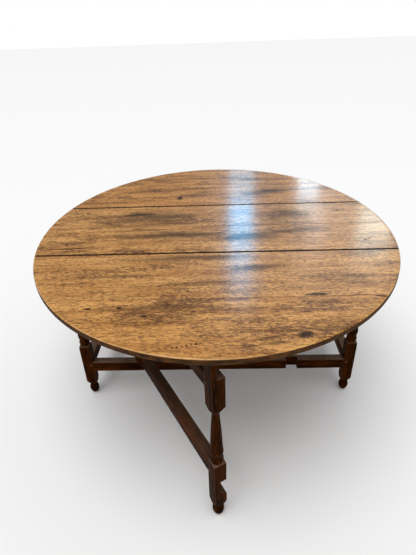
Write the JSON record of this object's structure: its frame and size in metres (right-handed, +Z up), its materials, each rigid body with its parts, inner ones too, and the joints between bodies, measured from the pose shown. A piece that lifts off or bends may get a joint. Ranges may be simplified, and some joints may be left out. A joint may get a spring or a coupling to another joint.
{
  "type": "gateleg table",
  "caption": "Oak gateleg table with an oval top in three sections, drop leaves on hidden hinges, turned legs and two gates swinging on pintles.",
  "frame": {"origin": "on the floor, under the middle of the top", "axes": "+Z up, +Y across the three sections of the top (the longer way), X along the hinge lines"},
  "size_m": [1.429, 1.664, 0.74],
  "materials": {
    "top_oak": "waxed old oak, honey brown, satin polish",
    "frame_oak": "very dark brown old oak, worn satin",
    "peg_oak": "riven oak pegs, dark end grain",
    "top_peg_oak": "riven oak pegs, dark waxed end grain",
    "hinge_iron": "forged black iron, dull",
    "nail_iron": "hand-made iron nails, dull brown-black"
  },
  "bodies": {
    "frame": {"back_apron": "frame_oak", "back_centre_hinge_nails": "nail_iron", "back_frame_pegs": "peg_oak", "back_left_hinge_fixed_plate": "hinge_iron", "back_left_hinge_pin": "hinge_iron", "back_right_hinge_fixed_plate": "hinge_iron", "back_right_hinge_pin": "hinge_iron", "back_stretcher": "frame_oak", "centre_board_back": "top_oak", "centre_board_front": "top_oak", "front_apron": "frame_oak", "front_centre_hinge_nails": "nail_iron", "front_frame_pegs": "peg_oak", "front_left_hinge_fixed_plate": "hinge_iron", "front_left_hinge_pin": "hinge_iron", "front_right_hinge_fixed_plate": "hinge_iron", "front_right_hinge_pin": "hinge_iron", "front_stretcher": "frame_oak", "left_end_apron": "frame_oak", "left_end_pegs": "peg_oak", "left_end_stretcher": "frame_oak", "leg_back_left": "frame_oak", "leg_back_right": "frame_oak", "leg_front_left": "frame_oak", "leg_front_right": "frame_oak", "right_end_apron": "frame_oak", "right_end_pegs": "peg_oak", "right_end_stretcher": "frame_oak", "top_pegs": "top_peg_oak"},
    "front_leaf": {"front_gate_stop": "frame_oak", "front_leaf_hinge_nails": "nail_iron", "front_leaf_inner_board": "top_oak", "front_leaf_outer_board": "top_oak", "front_left_hinge_leaf_plate": "hinge_iron", "front_right_hinge_leaf_plate": "hinge_iron"},
    "back_leaf": {"back_gate_stop": "frame_oak", "back_leaf_hinge_nails": "nail_iron", "back_leaf_inner_board": "top_oak", "back_leaf_outer_board": "top_oak", "back_left_hinge_leaf_plate": "hinge_iron", "back_right_hinge_leaf_plate": "hinge_iron"},
    "front_gate": {"front_gate_leg": "frame_oak", "front_gate_pegs": "peg_oak", "front_gate_post": "frame_oak", "front_gate_stretcher": "frame_oak", "front_gate_top_rail": "frame_oak"},
    "back_gate": {"back_gate_leg": "frame_oak", "back_gate_pegs": "peg_oak", "back_gate_post": "frame_oak", "back_gate_stretcher": "frame_oak", "back_gate_top_rail": "frame_oak"}
  },
  "joints": [
    {"name": "front_gate_swing", "type": "hinge", "parent": "frame", "child": "front_gate", "pos_m": [-0.34291, -0.21, 0.4], "axis": [0, 0, 1], "range_deg": [0, 59.7]},
    {"name": "back_gate_swing", "type": "hinge", "parent": "frame", "child": "back_gate", "pos_m": [0.34291, 0.21, 0.4], "axis": [0, 0, 1], "range_deg": [0, 59.7]},
    {"name": "front_leaf_hinge", "type": "hinge", "parent": "frame", "child": "front_leaf", "pos_m": [0, -0.243, 0.716], "axis": [1, 0, 0], "range_deg": [-3.5, 0]},
    {"name": "back_leaf_hinge", "type": "hinge", "parent": "frame", "child": "back_leaf", "pos_m": [0, 0.243, 0.716], "axis": [-1, 0, 0], "range_deg": [-3.5, 0]}
  ]
}
